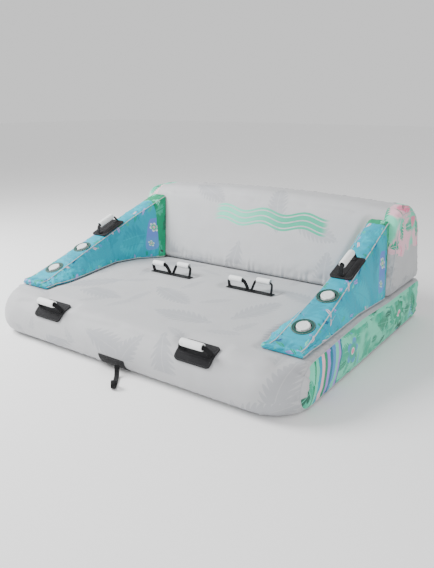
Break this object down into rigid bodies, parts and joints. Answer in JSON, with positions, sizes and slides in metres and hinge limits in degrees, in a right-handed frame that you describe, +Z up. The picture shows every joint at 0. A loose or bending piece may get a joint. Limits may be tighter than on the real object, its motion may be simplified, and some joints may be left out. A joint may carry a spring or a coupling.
{
  "type": "towable tube",
  "caption": "Inflatable towable deck tube: open-front sofa with a rounded lip, wedge armrests, a high backrest, grab handles, hinged valve caps and a tow loop.",
  "frame": {"origin": "middle of the bottom panel, on the surface that the tube rests on", "axes": "+Z up, +X along the width, to the right of someone facing the seat; the front lip faces -Y and the backrest stands at +Y"},
  "size_m": [2, 1.8946, 0.75],
  "materials": {
    "grey_cover": "coated woven nylon, light grey, satin",
    "teal_cover": "coated woven nylon, teal, satin",
    "bladder_pvc": "calendered PVC film",
    "bottom_coating": "coated fabric",
    "webbing": "flat woven polyester webbing",
    "knuckle_pad": "foam pad faced with woven nylon",
    "grip_foam": "closed-cell EVA foam, matt",
    "valve_plastic": "moulded PVC, satin",
    "valve_surround": "neoprene ring",
    "zip_tape": "woven tape with moulded coil",
    "zip_metal": "tumbled",
    "drain_plastic": "moulded grommet"
  },
  "bodies": {
    "tube": {"arm_bladder_left": "bladder_pvc", "arm_bladder_right": "bladder_pvc", "arm_cover_left": "teal_cover", "arm_cover_right": "teal_cover", "arm_handle_left_pad": "knuckle_pad", "arm_handle_right_pad": "knuckle_pad", "backrest_bladder": "bladder_pvc", "backrest_cover": "grey_cover", "base_bladder": "bladder_pvc", "base_cover": "grey_cover", "bottom_panel": "bottom_coating", "deck_handle_left_strap": "webbing", "deck_handle_right_strap": "webbing", "drain_vent_left": "drain_plastic", "drain_vent_right": "drain_plastic", "front_handle_left_pad": "knuckle_pad", "front_handle_right_pad": "knuckle_pad", "tow_harness": "webbing", "tow_patch": "webbing", "valve_arm_front_left_body": "valve_plastic", "valve_arm_front_left_ring": "valve_surround", "valve_arm_front_right_body": "valve_plastic", "valve_arm_front_right_ring": "valve_surround", "valve_arm_rear_left_body": "valve_plastic", "valve_arm_rear_left_ring": "valve_surround", "valve_arm_rear_right_body": "valve_plastic", "valve_arm_rear_right_ring": "valve_surround", "valve_backrest_body": "valve_plastic", "valve_backrest_ring": "valve_surround", "valve_base_body": "valve_plastic", "valve_base_ring": "valve_surround", "zip_backrest_tape": "zip_tape", "zip_base_tape": "zip_tape"},
    "arm_handle_left": {"arm_handle_left_loop": "webbing", "arm_handle_left_grip": "grip_foam"},
    "arm_handle_right": {"arm_handle_right_loop": "webbing", "arm_handle_right_grip": "grip_foam"},
    "deck_handle_left_left": {"deck_handle_left_left_loop": "webbing", "deck_handle_left_left_grip": "grip_foam"},
    "deck_handle_left_right": {"deck_handle_left_right_loop": "webbing", "deck_handle_left_right_grip": "grip_foam"},
    "deck_handle_right_left": {"deck_handle_right_left_loop": "webbing", "deck_handle_right_left_grip": "grip_foam"},
    "deck_handle_right_right": {"deck_handle_right_right_loop": "webbing", "deck_handle_right_right_grip": "grip_foam"},
    "front_handle_left": {"front_handle_left_loop": "webbing", "front_handle_left_grip": "grip_foam"},
    "front_handle_right": {"front_handle_right_loop": "webbing", "front_handle_right_grip": "grip_foam"},
    "valve_arm_front_left_cap": {"valve_arm_front_left_cap": "valve_plastic"},
    "valve_arm_front_right_cap": {"valve_arm_front_right_cap": "valve_plastic"},
    "valve_arm_rear_left_cap": {"valve_arm_rear_left_cap": "valve_plastic"},
    "valve_arm_rear_right_cap": {"valve_arm_rear_right_cap": "valve_plastic"},
    "valve_backrest_cap": {"valve_backrest_cap": "valve_plastic"},
    "valve_base_cap": {"valve_base_cap": "valve_plastic"},
    "tow_loop": {"tow_loop": "webbing"},
    "zip_base_slider": {"zip_base_slider": "zip_metal"},
    "zip_base_pull": {"zip_base_pull": "zip_metal"},
    "zip_backrest_slider": {"zip_backrest_slider": "zip_metal"},
    "zip_backrest_pull": {"zip_backrest_pull": "zip_metal"}
  },
  "joints": [
    {"name": "arm_handle_left_swing", "type": "hinge", "parent": "tube", "child": "arm_handle_left", "pos_m": [-0.868, -0.00465, 0.49701], "axis": [0, 0.9433, 0.332], "range_deg": [-60, 60]},
    {"name": "arm_handle_right_swing", "type": "hinge", "parent": "tube", "child": "arm_handle_right", "pos_m": [0.868, -0.00465, 0.49701], "axis": [0, 0.9433, 0.332], "range_deg": [-60, 60]},
    {"name": "deck_handle_left_left_swing", "type": "hinge", "parent": "tube", "child": "deck_handle_left_left", "pos_m": [-0.3695, -0.03, 0.271], "axis": [1, 0, 0], "range_deg": [-100, 50]},
    {"name": "deck_handle_left_right_swing", "type": "hinge", "parent": "tube", "child": "deck_handle_left_right", "pos_m": [-0.2145, -0.03, 0.271], "axis": [1, 0, 0], "range_deg": [-50, 100]},
    {"name": "deck_handle_right_left_swing", "type": "hinge", "parent": "tube", "child": "deck_handle_right_left", "pos_m": [0.2145, -0.03, 0.271], "axis": [1, 0, 0], "range_deg": [-100, 50]},
    {"name": "deck_handle_right_right_swing", "type": "hinge", "parent": "tube", "child": "deck_handle_right_right", "pos_m": [0.3695, -0.03, 0.271], "axis": [1, 0, 0], "range_deg": [-50, 100]},
    {"name": "front_handle_left_swing", "type": "hinge", "parent": "tube", "child": "front_handle_left", "pos_m": [-0.5, -0.81897, 0.22319], "axis": [1, 0, 0], "range_deg": [-60, 60]},
    {"name": "front_handle_right_swing", "type": "hinge", "parent": "tube", "child": "front_handle_right", "pos_m": [0.5, -0.81897, 0.22319], "axis": [1, 0, 0], "range_deg": [-60, 60]},
    {"name": "valve_arm_front_left_cap_lift", "type": "hinge", "parent": "tube", "child": "valve_arm_front_left_cap", "pos_m": [-0.868, -0.44659, 0.33137], "axis": [-1, 0, 0], "range_deg": [0, 150]},
    {"name": "valve_arm_front_right_cap_lift", "type": "hinge", "parent": "tube", "child": "valve_arm_front_right_cap", "pos_m": [0.868, -0.44659, 0.33137], "axis": [-1, 0, 0], "range_deg": [0, 150]},
    {"name": "valve_arm_rear_left_cap_lift", "type": "hinge", "parent": "tube", "child": "valve_arm_rear_left_cap", "pos_m": [-0.872, -0.20659, 0.41585], "axis": [-1, 0, 0], "range_deg": [0, 150]},
    {"name": "valve_arm_rear_right_cap_lift", "type": "hinge", "parent": "tube", "child": "valve_arm_rear_right_cap", "pos_m": [0.872, -0.20659, 0.41585], "axis": [-1, 0, 0], "range_deg": [0, 150]},
    {"name": "valve_backrest_cap_lift", "type": "hinge", "parent": "tube", "child": "valve_backrest_cap", "pos_m": [0.4, 0.8595, 0.537], "axis": [1, 0, 0], "range_deg": [0, 150]},
    {"name": "valve_base_cap_lift", "type": "hinge", "parent": "tube", "child": "valve_base_cap", "pos_m": [-0.35, 0.8695, 0.155], "axis": [1, 0, 0], "range_deg": [0, 150]},
    {"name": "tow_loop_lift", "type": "hinge", "parent": "tube", "child": "tow_loop", "pos_m": [0.05, -0.878, 0.054], "axis": [-0.788, -0.6157, 0], "range_deg": [0, 75]},
    {"name": "zip_base_run", "type": "slide", "parent": "tube", "child": "zip_base_slider", "axis": [-1, 0, 0], "range_m": [0, 1.16]},
    {"name": "zip_base_pull_swing", "type": "hinge", "parent": "zip_base_slider", "child": "zip_base_pull", "pos_m": [0.58, 0.871, 0.1975], "axis": [1, 0, 0], "range_deg": [0, 90]},
    {"name": "zip_backrest_run", "type": "slide", "parent": "tube", "child": "zip_backrest_slider", "axis": [-1, 0, 0], "range_m": [0, 1.32]},
    {"name": "zip_backrest_pull_swing", "type": "hinge", "parent": "zip_backrest_slider", "child": "zip_backrest_pull", "pos_m": [0.66, 0.861, 0.3545], "axis": [1, 0, 0], "range_deg": [0, 90]}
  ]
}
